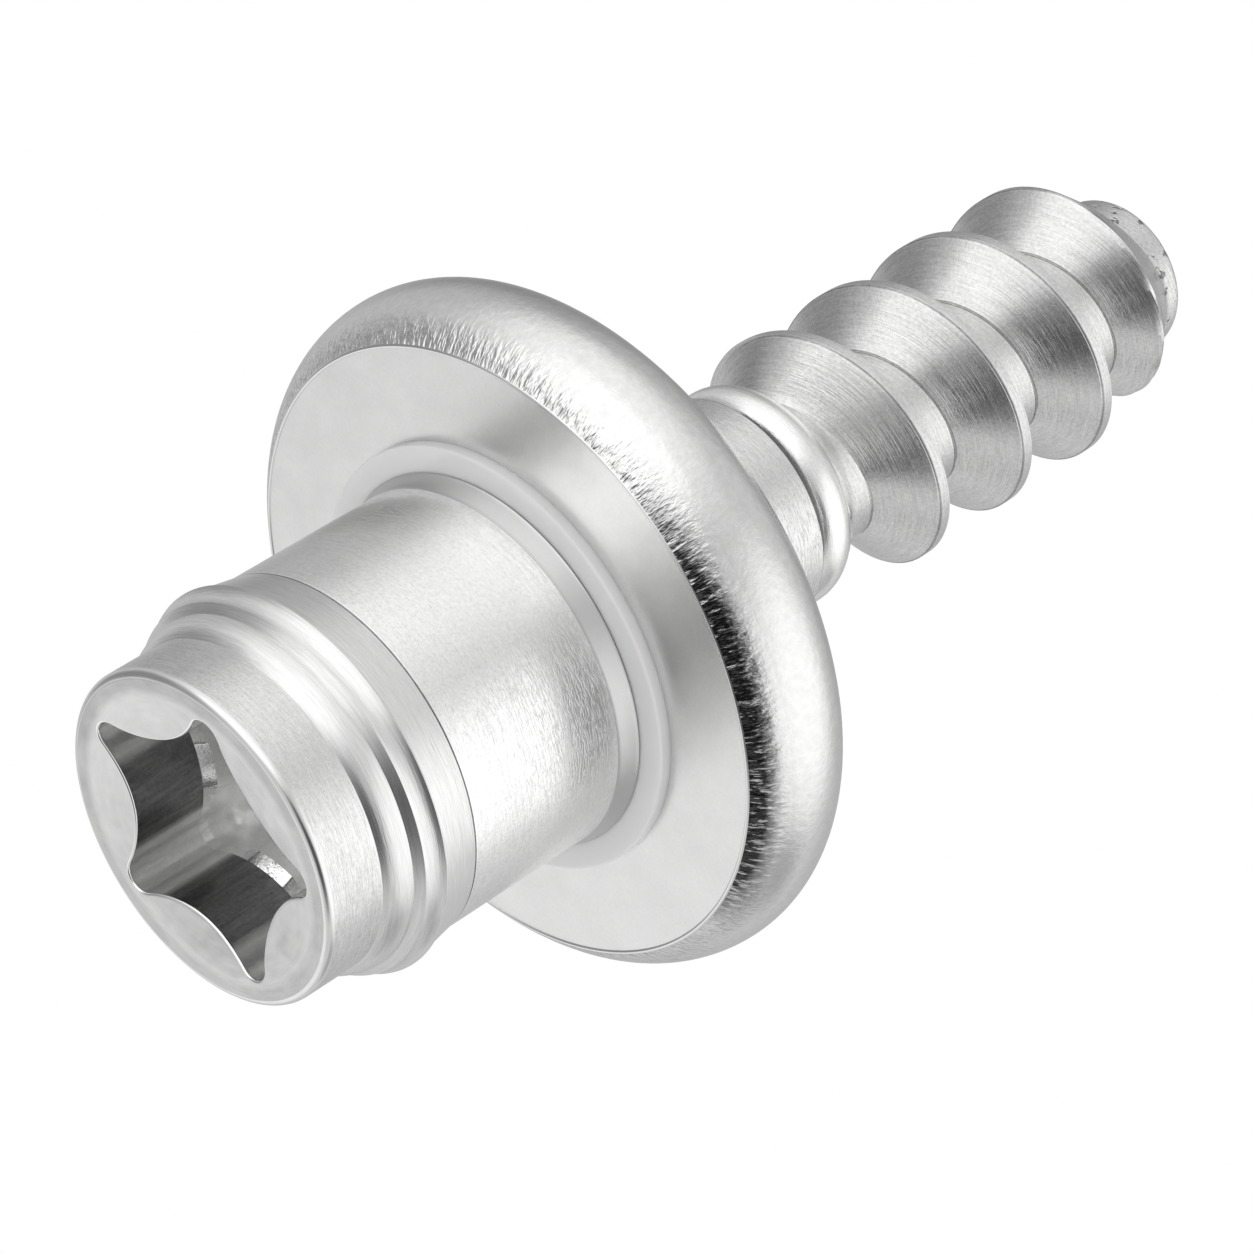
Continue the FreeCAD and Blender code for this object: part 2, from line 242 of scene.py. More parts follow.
def blank_stretches():
    """Return the blank's outline from the head's edge to the thread, cut where its finish changes."""
    front_run = RIM_MIDDLE - FLANGE_FACE
    front_rise = FLANGE_RADIUS - FLANGE_FLAT
    front_round = (front_run ** 2 + front_rise ** 2) / (2 * front_rise)
    bead_run = (BEAD_END - BEAD_START) / 2
    bead_rise = BEAD_RADIUS - GROOVE_RADIUS
    bead_round = (bead_run ** 2 + bead_rise ** 2) / (2 * bead_rise)
    head_side = [(HEAD_RADIUS, height) for height in HEAD_SIDE]
    collar_end = (COLLAR_RADIUS - COLLAR_STEP, COLLAR_BACK + SLIGHT_STEP)
    cone_end = (SHOULDER_RADIUS + SLIGHT_STEP, SHOULDER_START)
    groove_middle = (SHOULDER_RADIUS - START_GROOVE_DEPTH, SHOULDER_START + START_GROOVE)
    groove_end = (SHOULDER_RADIUS, SHOULDER_START + 2 * START_GROOVE)
    flare_end = (FLARE_RADIUS, FLARE_TOP)
    lip_start = (FLANGE_FLAT - LIP, FLANGE_FACE)
    rim_middle = (FLANGE_RADIUS, RIM_MIDDLE)
    rim_end = (FLANGE_RADIUS - RIM_BACK_ROUND, FLANGE_BACK)
    neck_end = (NECK_RADIUS, NECK_END - NECK_EDGE)
    return [
        ("edge_line", arc((HEAD_RADIUS - HEAD_EDGE, 0), (HEAD_RADIUS, HEAD_EDGE), HEAD_EDGE, -1, 7)),
        ("head_side", [(HEAD_RADIUS, HEAD_EDGE)] + head_side),
        ("collar", rounded([
            (*head_side[-1], 0), (HEAD_RADIUS, COLLAR_FOOT, COLLAR_FOOT_ROUND),
            (COLLAR_RADIUS, COLLAR_TOP, COLLAR_TOP_ROUND),
            (COLLAR_RADIUS, COLLAR_BACK, COLLAR_BACK_ROUND), (*collar_end, 0)], 12)),
        ("cone", [collar_end, cone_end]),
        ("groove", [cone_end, groove_middle, groove_end]),
        ("shoulder", [groove_end, (SHOULDER_RADIUS, SHOULDER_MIDDLE), (SHOULDER_RADIUS, SHOULDER_END)]),
        ("flare", [
            (SHOULDER_RADIUS, SHOULDER_END), (SHOULDER_RADIUS + SLIGHT_STEP, FLARE_START - FLARE_CORNER),
            (FLARE_RADIUS - 2 * SLIGHT_STEP, FLARE_TOP - FLARE_CORNER), flare_end]),
        ("flare", [flare_end, (SHOULDER_RADIUS, FLARE_TOP + SLIGHT_STEP), (SHOULDER_RADIUS, FLANGE_FACE)]),
        ("flange_face", [(SHOULDER_RADIUS, FLANGE_FACE), lip_start]),
        ("edge_line", arc(lip_start, (FLANGE_FLAT, FLANGE_FACE), LIP_ROUND, -1, 6)),
        ("rim", arc((FLANGE_FLAT, FLANGE_FACE), rim_middle, front_round, -1, 14)),
        ("rim", arc(rim_middle, rim_end, RIM_BACK_ROUND, -1, 18)),
        ("flange_back", rounded([
            (*rim_end, 0), (NECK_RADIUS, FLANGE_BACK, NECK_FOOT_ROUND), (NECK_RADIUS, NECK_START, 0)])),
        ("neck", [(NECK_RADIUS, NECK_START), neck_end]),
        ("groove", rounded([
            (*neck_end, 0), (NECK_RADIUS, NECK_END, GROOVE_ROUND),
            (GROOVE_RADIUS, NECK_END + SLIGHT_STEP, GROOVE_ROUND), (GROOVE_RADIUS, BEAD_START, 0)], 4)),
        ("bead", arc((GROOVE_RADIUS, BEAD_START), (GROOVE_RADIUS, BEAD_END), bead_round, -1, 18)),
        ("bead", [(GROOVE_RADIUS, BEAD_END), (SHANK_RADIUS, BEAD_END)]),
    ]


# Thread: coarse, for plastic, rolled on after the blank is turned. A flat sheet of points is wound once
# round the root by Geometry Nodes, and each point is raised by how near it is to the turning crest.
THREAD_RADIUS = 3.25
ROOT_RADIUS = 2.0
PITCH = 2.96
THREAD_END = 30.45
TIP_END = 30.7
TIP_BEVEL = 0.25
TIP_ROUND = 0.34
PITCH_ROWS = 40
SHANK_FADE = 0.25
ROOT_SHIFT = 0.1
THREAD_SIZES = {
    "Start": BEAD_END,
    "End": THREAD_END,
    "Pitch": PITCH,
    "Root Radius": ROOT_RADIUS,
    "Crest Radius": THREAD_RADIUS,
    "Shank Step": SHANK_RADIUS - ROOT_RADIUS,
    "Shank End": 18.42,
    "Crest": 0.296,
    "Front Flank": 1.036,
    "Back Flank": 0.888,
    "First Crest": 17.75,
    "Start Taper": 1.3,
    "Nose": 2.1,
    "Taper Foot": 1.7,
    "Crest Round": 0.012,
    "Taper Round": 0.12,
    "Root Round": 0.03,
}


def feed(tree, sockets, values):
    """Give each socket its value, or a link where the value is the result of another node."""
    for socket, value in zip(sockets, values):
        if isinstance(value, bpy.types.NodeSocket):
            tree.links.new(value, socket)
        else:
            socket.default_value = value


def calc(tree, operation, *values):
    """Add a math node to a tree, give it its values and return its result."""
    node = tree.nodes.new("ShaderNodeMath")
    node.operation = operation
    feed(tree, node.inputs, values)
    return node.outputs[0]


def vector(tree, *values):
    """Combine three values into a vector."""
    node = tree.nodes.new("ShaderNodeCombineXYZ")
    feed(tree, node.inputs, values)
    return node.outputs[0]


def thread_tree(material):
    """Build the tree that winds the thread's surface."""
    tree = bpy.data.node_groups.new("wound_thread", "GeometryNodeTree")
    for name in THREAD_SIZES:
        tree.interface.new_socket(name=name, in_out="INPUT", socket_type="NodeSocketFloat")
    tree.interface.new_socket(name="Geometry", in_out="OUTPUT", socket_type="NodeSocketGeometry")
    size = tree.nodes.new("NodeGroupInput").outputs
    turns = math.ceil((THREAD_END - BEAD_END) / PITCH) + 2
    rows = turns * PITCH_ROWS
    grid = tree.nodes.new("GeometryNodeMeshGrid")
    grid.inputs["Size X"].default_value = 1.0
    grid.inputs["Size Y"].default_value = 1.0
    grid.inputs["Vertices X"].default_value = COLUMNS + 1
    grid.inputs["Vertices Y"].default_value = rows + 1
    place = tree.nodes.new("ShaderNodeSeparateXYZ")
    tree.links.new(tree.nodes.new("GeometryNodeInputPosition").outputs[0], place.inputs[0])
    around = calc(tree, "ADD", place.outputs[0], 0.5)
    along = calc(tree, "ADD", place.outputs[1], 0.5)
    # Rows follow the helix, start at an edge of the crest land and are held between the two ends
    lead = calc(tree, "MULTIPLY", around, size["Pitch"])
    half_crest = calc(tree, "MULTIPLY", size["Crest"], 0.5)
    first_row = calc(tree, "SUBTRACT", size["First Crest"], half_crest)
    first_row = calc(tree, "MULTIPLY_ADD", size["Pitch"], -2.0, first_row)
    row = calc(tree, "MULTIPLY_ADD", calc(tree, "MULTIPLY", along, float(turns)), size["Pitch"], first_row)
    height = calc(tree, "MINIMUM", calc(tree, "ADD", row, lead), size["End"])
    height = calc(tree, "MAXIMUM", height, size["Start"])
    # Distance along the axis from the nearest crest, wrapped half way along the root
    off = calc(tree, "SUBTRACT", calc(tree, "SUBTRACT", height, lead), size["First Crest"])
    low = calc(tree, "SUBTRACT", calc(tree, "MULTIPLY", size["Pitch"], -0.5), ROOT_SHIFT)
    off = calc(tree, "WRAP", off, calc(tree, "ADD", low, size["Pitch"]), low)
    front = calc(tree, "DIVIDE", calc(tree, "SUBTRACT", calc(tree, "MULTIPLY", off, -1.0), half_crest),
                 size["Front Flank"])
    back = calc(tree, "DIVIDE", calc(tree, "SUBTRACT", off, half_crest), size["Back Flank"])
    depth = calc(tree, "SUBTRACT", size["Crest Radius"], size["Root Radius"])
    drop = calc(tree, "MULTIPLY", calc(tree, "MAXIMUM", front, back), depth)
    ridge = calc(tree, "SUBTRACT", size["Crest Radius"], drop)
    ridge = calc(tree, "SMOOTH_MIN", ridge, size["Crest Radius"], size["Crest Round"])
    # The ridge tapers up from the shank and down again to the tip
    climb = calc(tree, "SUBTRACT", size["Crest Radius"], size["Taper Foot"])
    risen = calc(tree, "DIVIDE", calc(tree, "SUBTRACT", height, size["Start"]), size["Start Taper"])
    left = calc(tree, "DIVIDE", calc(tree, "SUBTRACT", size["End"], height), size["Nose"])
    limit = calc(tree, "MULTIPLY_ADD", calc(tree, "MINIMUM", risen, left), climb, size["Taper Foot"])
    ridge = calc(tree, "SMOOTH_MIN", ridge, limit, size["Taper Round"])
    past_shank = calc(tree, "MULTIPLY", calc(tree, "SUBTRACT", height, size["Shank End"]), 1 / SHANK_FADE)
    before_root = calc(tree, "MINIMUM", calc(tree, "SUBTRACT", 0.5, past_shank), 1.0)
    before_root = calc(tree, "MAXIMUM", before_root, 0.0)
    root = calc(tree, "MULTIPLY_ADD", before_root, size["Shank Step"], size["Root Radius"])
    radius = calc(tree, "SMOOTH_MAX", ridge, root, size["Root Round"])
    angle = calc(tree, "MULTIPLY", around, 2 * math.pi)
    wound = vector(tree, calc(tree, "MULTIPLY", radius, calc(tree, "COSINE", angle)),
                   calc(tree, "MULTIPLY", radius, calc(tree, "SINE", angle)), height)
    steps = (
        ("GeometryNodeSetPosition", {"Position": wound}),
        ("GeometryNodeMergeByDistance", {"Distance": 1e-4}),
        ("GeometryNodeRealizeInstances", {}),
        ("GeometryNodeSetMaterial", {"Material": material}),
    )
    geometry = grid.outputs["Mesh"]
    for kind, settings in steps:
        node = tree.nodes.new(kind)
        tree.links.new(geometry, node.inputs["Geometry"])
        feed(tree, [node.inputs[name] for name in settings], settings.values())
        geometry = node.outputs["Geometry"]
    tree.links.new(geometry, tree.nodes.new("NodeGroupOutput").inputs[0])
    return tree


def wound_thread(material):
    """Return the mesh of the thread's surface, in millimetres."""
    thread = bpy.data.objects.new("thread_surface", bpy.data.meshes.new("thread_surface"))
    bpy.context.collection.objects.link(thread)
    modifier = thread.modifiers.new("wind", "NODES")
    modifier.node_group = thread_tree(material)
    for item in modifier.node_group.interface.items_tree:
        if item.in_out == "INPUT":
            modifier[item.identifier] = THREAD_SIZES[item.name]
    wound = bpy.data.meshes.new_from_object(thread.evaluated_get(bpy.context.evaluated_depsgraph_get()))
    thread.modifiers.remove(modifier)
    bpy.data.objects.remove(thread)
    return wound


# Finishes: the whole screw is one steel with a bright plating, so every finish is the same metal, and
# only its marks and its tone differ. The tone is painted light and shade: some finishes are lighter copies
# of the same steel, others darker ones, and some of the marks are painted shade. Marks run round the axis
# where a tool turned it, and every way where it tumbled. The socket keeps the marks of its punch, the
# thread those of its rolling, and the tip those of the shears.
STEEL_COLOUR = (0.83, 0.83, 0.825)
STEEL_SHADE = (0.05, 0.05, 0.05, 1.0)
NOISE_LOW = 0.3
NOISE_HIGH = 0.7
# Which side of the rim carries its band of painted shade.
PAINTED_SHADE_SIDE = (0.574, -0.819)
PADS_TO_FLUTES = (2.62, 2.8)
DISH_TO_BAND = (3.4, 3.6)
LINES_START = (BEAD_END + 0.9, BEAD_END + 1.6)
LINES_END = (THREAD_END - 2.0, THREAD_END - 1.7)
NOSE_START = (THREAD_END - 1.1, THREAD_END - 0.8)


def polar(tree):
    """Return the axis coordinates of a point: its direction, radius and height, in millimetres."""
    place = tree.nodes.new("ShaderNodeTexCoord").outputs["Object"]
    parts = tree.nodes.new("ShaderNodeSeparateXYZ")
    tree.links.new(place, parts.inputs[0])
    flat = calc(tree, "SQRT", calc(tree, "ADD", calc(tree, "POWER", parts.outputs[0], 2.0),
                                   calc(tree, "POWER", parts.outputs[1], 2.0)))
    radius = calc(tree, "MULTIPLY", flat, 1 / MM)
    height = calc(tree, "MULTIPLY", parts.outputs[2], 1 / MM)
    cosine = calc(tree, "DIVIDE", parts.outputs[0], flat)
    sine = calc(tree, "DIVIDE", parts.outputs[1], flat)
    return {"place": place, "radius": radius, "height": height, "cosine": cosine, "sine": sine}


def noise(tree, where, scale, detail=2.0, rough=0.5):
    """Return a noise that varies over a place."""
    node = tree.nodes.new("ShaderNodeTexNoise")
    tree.links.new(where, node.inputs["Vector"])
    node.inputs["Scale"].default_value = scale
    node.inputs["Detail"].default_value = detail
    node.inputs["Roughness"].default_value = rough
    return node.outputs[0]


def stretched(tree, at, around, across, height=None):
    """Return the place where a pattern is read: the direction times around, and the height times across."""
    return vector(tree, calc(tree, "MULTIPLY", at["cosine"], around),
                  calc(tree, "MULTIPLY", at["sine"], around),
                  calc(tree, "MULTIPLY", at["height"] if height is None else height, across))


def turning_lines(tree, at, around, across):
    """Return marks that run round the axis: many lines to a millimetre across, long on the way round."""
    path = calc(tree, "MULTIPLY_ADD", at["radius"], 0.4, at["height"])
    return noise(tree, stretched(tree, at, around, across, path), 1.0, 3.0, 0.6)


def span(tree, value, low, high, to_low, to_high):
    """Return a value stretched from one range to another and held within it."""
    node = tree.nodes.new("ShaderNodeMapRange")
    feed(tree, node.inputs, (value, low, high, to_low, to_high))
    return node.outputs[0]


def new_finish(name):
    """Start a material and return it with its tree, its shader and the axis coordinates."""
    material = bpy.data.materials.new(name)
    material.use_nodes = True
    tree = material.node_tree
    shader = tree.nodes["Principled BSDF"]
    return material, tree, shader, polar(tree)


def bump(tree, shader, layers):
    """Stack bumps, each a height and its depth in micrometres, on a shader's normal."""
    below = None
    for height, depth in layers:
        if not depth:
            continue
        node = tree.nodes.new("ShaderNodeBump")
        node.inputs["Strength"].default_value = 1.0
        node.inputs["Distance"].default_value = depth * 1e-6
        tree.links.new(height, node.inputs["Height"])
        if below is not None:
            tree.links.new(below, node.inputs["Normal"])
        below = node.outputs[0]
    tree.links.new(below, shader.inputs["Normal"])


def steel(name, roughness, spread, grain, tone, marks):
    """Return a steel finish: its roughness and how much that varies, its grain, its tone and its marks.

    The tone is painted light and shade: it scales how bright the same steel is in this finish.
    Each mark is a pattern, its depth in micrometres and the share of the light that it keeps back.
    """
    material, tree, shader, at = new_finish(name)
    shader.inputs["Metallic"].default_value = 1.0
    shader.inputs["Anisotropic"].default_value = grain
    if grain:
        tangent = tree.nodes.new("ShaderNodeTangent")
        tangent.direction_type = "RADIAL"
        tangent.axis = "Z"
        tree.links.new(tangent.outputs[0], shader.inputs["Tangent"])
    cloud = noise(tree, at["place"], 900.0, 3.0)
    cloud = span(tree, cloud, NOISE_LOW, NOISE_HIGH, roughness - spread, roughness + spread)
    tree.links.new(cloud, shader.inputs["Roughness"])
    tint = tree.nodes.new("ShaderNodeMix")
    tint.data_type = "RGBA"
    heights = []
    held_back = 0.0
    for pattern, depth, share in marks:
        height = pattern(tree, at)
        heights.append((height, depth))
        held_back = calc(tree, "ADD", span(tree, height, NOISE_LOW, NOISE_HIGH, share, 0.0), held_back)
    tree.links.new(held_back, tint.inputs["Factor"])
    # The tone is painted light and shade, which scales how bright the same steel is in each finish.
    tint.inputs["A"].default_value = tuple(tone * part for part in STEEL_COLOUR) + (1.0,)
    tint.inputs["B"].default_value = STEEL_SHADE
    tree.links.new(tint.outputs["Result"], shader.inputs["Base Color"])
    bump(tree, shader, heights)
    return material


def fine_lines(tree, at):
    """Fine turning lines."""
    return turning_lines(tree, at, 7.0, 24.0)


def coarse_lines(tree, at):
    """Long, coarse turning lines."""
    return turning_lines(tree, at, 1.2, 9.0)


def peel(tree, at):
    """The fine orange peel of the plating."""
    return noise(tree, at["place"], 12000.0, 3.0, 0.7)


def pebbles(tree, at):
    """Small dents from tumbling."""
    return noise(tree, at["place"], 5200.0, 4.0, 0.65)


def soft_waves(tree, at):
    """Low waves, about a millimetre long."""
    return noise(tree, at["place"], 700.0, 2.0, 0.5)


def wandering_scratches(tree, at, around=14.0, across=8.0):
    """Thin scratches, drawn where a stretched noise passes its middle: 0 in them, else 1."""
    where = stretched(tree, at, around, across)
    off = calc(tree, "ABSOLUTE", calc(tree, "SUBTRACT", noise(tree, where, 1.0, 2.0, 0.6), 0.5))
    return span(tree, off, 0.0, 0.03, 0.0, 1.0)


def long_scratches(tree, at):
    """The same, drawn out round the axis."""
    return wandering_scratches(tree, at, 5.0, 18.0)


def by_the_edge(tree, at, width):
    """Return how near a point of the rim is to the flange's face: 1 beside it and 0 from a width on."""
    return span(tree, at["height"], FLANGE_FACE + 0.06, FLANGE_FACE + width, 1.0, 0.0)


def rim_crinkle(tree, at):
    """Radial wrinkles just beyond the flange's edge, where the metal was stretched."""
    wrinkles = noise(tree, stretched(tree, at, 62.0, 4.0), 1.0, 2.0, 0.6)
    return calc(tree, "MULTIPLY", wrinkles, by_the_edge(tree, at, 0.7))


def rim_painted_shade_band(tree, at):
    """Painted shade: a dark band by the face on one side of the rim, broken by radial streaks of bright
    metal.
    """
    side = calc(tree, "MULTIPLY_ADD", at["cosine"], PAINTED_SHADE_SIDE[0],
                calc(tree, "MULTIPLY", at["sine"], PAINTED_SHADE_SIDE[1]))
    band = calc(tree, "MULTIPLY", by_the_edge(tree, at, 0.5), span(tree, side, 0.7, 0.92, 0.0, 1.0))
    shade_streaks = span(tree, noise(tree, stretched(tree, at, 85.0, 4.0), 1.0, 3.0, 0.6), 0.5, 0.62, 1.0, 0.15)
    return calc(tree, "MULTIPLY_ADD", calc(tree, "MULTIPLY", band, shade_streaks), -0.6, 0.7)


def helix_phase(tree, at):
    """Return the angle from the thread's crest line, the same on every turn, and the angle round the axis."""
    turn = calc(tree, "ARCTAN2", at["sine"], at["cosine"])
    rise = calc(tree, "SUBTRACT", at["height"], THREAD_SIZES["First Crest"])
    return calc(tree, "SUBTRACT", calc(tree, "MULTIPLY", rise, 2 * math.pi / PITCH), turn), turn


def helix_lines(tree, at):
    """Fine rolling marks that follow the thread."""
    phase, turn = helix_phase(tree, at)
    where = vector(tree, calc(tree, "MULTIPLY", calc(tree, "COSINE", phase), 16.0),
                   calc(tree, "MULTIPLY", calc(tree, "SINE", phase), 16.0),
                   calc(tree, "MULTIPLY", calc(tree, "SINE", turn), 5.0))
    return noise(tree, where, 1.0, 4.0, 0.65)


def painted_thread_corner_shade(tree, at):
    """Painted shade, with a slight dent: the dark lines in the foot of the front flank and along the front of
    the crest: 0 there, else 1.
    """
    phase, _ = helix_phase(tree, at)
    lines = []
    crest_edge = -THREAD_SIZES["Crest"] / 2
    for corner in (crest_edge, crest_edge - THREAD_SIZES["Front Flank"]):
        off = calc(tree, "COSINE", calc(tree, "SUBTRACT", phase, corner * 2 * math.pi / PITCH))
        lines.append(span(tree, off, 0.9975, 0.9997, 1.0, 0.0))
    # The lines fade out where the ridge tapers, at both ends
    before = span(tree, at["height"], *LINES_START, 1.0, 0.0)
    after = span(tree, at["height"], *LINES_END, 0.0, 1.0)
    return calc(tree, "MAXIMUM", calc(tree, "MINIMUM", *lines), calc(tree, "MAXIMUM", after, before))


def pits(tree, at):
    """Scattered pits in the sheared metal: 0 in them, else 1."""
    return span(tree, noise(tree, at["place"], 2600.0, 3.0, 0.6), 0.33, 0.42, 0.0, 1.0)


def nose_pits(tree, at):
    """The same on the last of the thread only, beside the sheared end."""
    before_nose = span(tree, at["height"], *NOSE_START, 1.0, 0.0)
    return calc(tree, "MAXIMUM", pits(tree, at), before_nose)


def painted_pad_shade(tree, at):
    """Painted shade on the socket's pads, which leaves the flutes brighter."""
    return span(tree, at["radius"], *PADS_TO_FLUTES, NOISE_LOW, NOISE_HIGH)


def painted_face_band_shade(tree, at):
    """Painted shade on the flat band of the head's face outside the dish, which is a little darker than the
    pads.
    """
    return span(tree, at["radius"], *DISH_TO_BAND, NOISE_HIGH, NOISE_LOW)


def draw_marks(tree, at):
    """Marks of the punch along the socket's walls."""
    return noise(tree, stretched(tree, at, 26.0, 1.2), 1.0, 4.0, 0.6)


# Each finish: name, roughness, its spread, grain, tone and marks. The tone is painted light and shade.
FINISHES = {name: steel(name, *sizes) for name, *sizes in (
    # The socket's finishes are painted lighter than the steel elsewhere: painted light inside the socket.
    ("socket_floor", 0.5, 0.05, 0.0, 1.2, [(peel, 6.0, 0.12)]),
    ("socket_step", 0.16, 0.04, 0.0, 1.2, [(pebbles, 12.0, 0.1)]),
    # The socket walls' first mark is painted shade on the pads.
    ("socket_wall", 0.32, 0.05, 0.0, 1.15, [
        (painted_pad_shade, 0.0, 0.68), (draw_marks, 8.0, 0.14), (peel, 2.0, 0.1)]),
    ("socket_edge", 0.1, 0.02, 0.0, 1.15, [(soft_waves, 3.0, 0.05)]),
    # The head face's first mark is painted shade on the band outside the dish.
    ("head_face", 0.24, 0.04, 0.3, 0.92, [
        (painted_face_band_shade, 0.0, 0.2), (soft_waves, 70.0, 0.12), (fine_lines, 2.0, 0.08)]),
    ("edge_line", 0.14, 0.03, 0.0, 1.0, [(fine_lines, 1.5, 0.1)]),
    ("head_side", 0.22, 0.05, 0.4, 1.05, [
        (fine_lines, 3.0, 0.12), (long_scratches, 2.0, 0.08), (peel, 1.5, 0.14)]),
    ("collar", 0.26, 0.03, 0.3, 1.05, [(fine_lines, 4.0, 0.14), (coarse_lines, 6.0, 0.1)]),
    ("cone", 0.18, 0.03, 0.3, 1.15, [(fine_lines, 4.0, 0.14)]),
    ("shoulder", 0.22, 0.05, 0.3, 1.19, [
        (wandering_scratches, 1.2, 0.07), (long_scratches, 1.0, 0.1), (peel, 0.9, 0.13)]),
    # The flare's low tone is painted shade at the foot of the shoulder, beside the ring.
    ("flare", 0.3, 0.03, 0.0, 0.75, [(soft_waves, 4.0, 0.05)]),
    ("flange_face", 0.32, 0.03, 0.0, 1.03, [(soft_waves, 20.0, 0.04), (peel, 0.8, 0.06)]),
    # The rim's second mark is painted shade, a dark band by the face on one side, in colour only.
    ("rim", 0.18, 0.04, 0.0, 1.04, [
        (rim_crinkle, 70.0, 0.06), (rim_painted_shade_band, 0.0, 0.92), (pebbles, 10.0, 0.12)]),
    ("flange_back", 0.26, 0.04, 0.4, 1.0, [(coarse_lines, 5.0, 0.1), (peel, 1.5, 0.1)]),
    ("neck", 0.19, 0.04, 0.4, 1.05, [
        (fine_lines, 5.0, 0.15), (long_scratches, 2.5, 0.1), (peel, 1.5, 0.12)]),
    ("bead", 0.2, 0.04, 0.3, 1.2, [(fine_lines, 4.0, 0.12), (peel, 1.5, 0.1)]),
    # The grooves' very low tone is painted shade in them.
    ("groove", 0.3, 0.05, 0.0, 0.3, [(pebbles, 15.0, 0.4)]),
    # The thread's first mark is painted shade in its corners, with a slight dent.
    ("thread", 0.19, 0.05, 0.2, 1.08, [
        (painted_thread_corner_shade, 12.0, 0.35), (helix_lines, 9.0, 0.22), (peel, 3.0, 0.2), (nose_pits, 40.0, 0.5)]),
    ("tip", 0.26, 0.06, 0.0, 1.15, [(pits, 60.0, 0.5), (pebbles, 25.0, 0.2)]),
)}


# The screw: all of it is one piece of steel, so socket, blank, thread and tip are joined into one closed
# mesh. The thread's surface meets the blank behind the bead, and the sheared tip, point on point.
TIP_RINGS = (1.5, 1.2, 0.8, 0.4)
SCREW_CREASE = 32.0


def add_ring(shape, points, height):
    """Add one ring of vertices, given as complex numbers in millimetres, at one or many heights."""
    heights = np.broadcast_to(height, points.shape)
    return [shape.verts.new((p.real * MM, p.imag * MM, h * MM)) for p, h in zip(points, heights)]


def bridge(shape, lower, upper, finish):
    """Join two rings of vertices by a band of faces."""
    for first in range(COLUMNS):
        second = (first + 1) % COLUMNS
        face = shape.faces.new((lower[first], lower[second], upper[second], upper[first]))
        face.material_index = finish


def add_stretch(shape, last, points, finish):
    """Turn a stretch of outline round the axis, from the ring that it starts on."""
    for radius, height in held_flat(points)[1:]:
        following = add_ring(shape, turned(radius), height)
        bridge(shape, last, following, finish)
        last = following
    return last


def close_middle(shape, ring, height, finish):
    """Close a ring of vertices by a fan to the axis."""
    middle = shape.verts.new((0, 0, height * MM))
    for first in range(COLUMNS):
        face = shape.faces.new((ring[first], ring[(first + 1) % COLUMNS], middle))
        face.material_index = finish


def finish_mesh(name, shape, materials, crease):
    """Turn a shape into a piece with its faces outwards and its sharp edges marked."""
    bmesh.ops.remove_doubles(shape, verts=shape.verts, dist=2e-7)
    bmesh.ops.recalc_face_normals(shape, faces=shape.faces)
    mesh = bpy.data.meshes.new(name)
    shape.to_mesh(mesh)
    shape.free()
    for material in materials:
        mesh.materials.append(material)
    mesh.shade_smooth()
    mesh.set_sharp_from_angle(angle=math.radians(crease))
    piece = bpy.data.objects.new(name, mesh)
    bpy.context.collection.objects.link(piece)
    return piece


def steel_screw():
    """Build the screw as one closed mesh: socket, turned blank, thread and tip."""
    slots = list(FINISHES)
    shape = bmesh.new()
    rings = []
    for finish, points, height in socket_rings():
        rings.append((slots.index(finish), add_ring(shape, points, height)))
    close_middle(shape, rings[0][1], SOCKET_DEPTH, rings[0][0])
    for (_, lower), (finish, upper) in zip(rings, rings[1:]):
        bridge(shape, lower, upper, finish)
    last = rings[-1][1]
    for finish, points in blank_stretches():
        last = add_stretch(shape, last, points, slots.index(finish))
    wound = wound_thread(FINISHES["thread"])
    wound.transform(Matrix.Scale(MM, 4))
    first = len(shape.faces)
    shape.from_mesh(wound)
    shape.faces.ensure_lookup_table()
    for face in shape.faces[first:]:
        face.material_index = slots.index("thread")
    tip = add_ring(shape, turned(ROOT_RADIUS), THREAD_END)
    edge = arc((ROOT_RADIUS, THREAD_END), (ROOT_RADIUS - TIP_BEVEL, TIP_END), TIP_ROUND, -1, 5)
    tip = add_stretch(shape, tip, edge, slots.index("tip"))
    for radius in TIP_RINGS:
        inner = add_ring(shape, turned(radius), TIP_END)
        bridge(shape, tip, inner, slots.index("tip"))
        tip = inner
    close_middle(shape, tip, TIP_END, slots.index("tip"))
    return finish_mesh("steel_screw", shape, FINISHES.values(), SCREW_CREASE)


screw = steel_screw()
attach(screw, "root")
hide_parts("screw")

# Plastic ring: a thin washer of natural nylon round the foot of the shoulder. It lies on the flange, and
# the shoulder's flare holds it there. It is milky and slightly clear, so light goes a little way into it.
# Its edges away from the flange are rounded.
RING_BORE = 4.48
RING_RADIUS = 5.2
RING_BACK = 8.73
RING_EDGE = 0.06
BORE_EDGE = 0.05
RING_CREASE = 40.0
NYLON_COLOUR = (0.93, 0.93, 0.925, 1.0)


def natural_nylon():
    """Return the milky plastic of the ring."""
    material, tree, shader, at = new_finish("natural_nylon")
    shader.inputs["Base Color"].default_value = NYLON_COLOUR
    shader.inputs["Roughness"].default_value = 0.12
    shader.inputs["Subsurface Weight"].default_value = 0.5
    shader.inputs["Subsurface Radius"].default_value = (1.0, 0.95, 0.9)
    shader.inputs["Subsurface Scale"].default_value = 0.0004
    bump(tree, shader, [(turning_lines(tree, at, 1.0, 8.0), 2.0), (peel(tree, at), 2.0)])
    return material


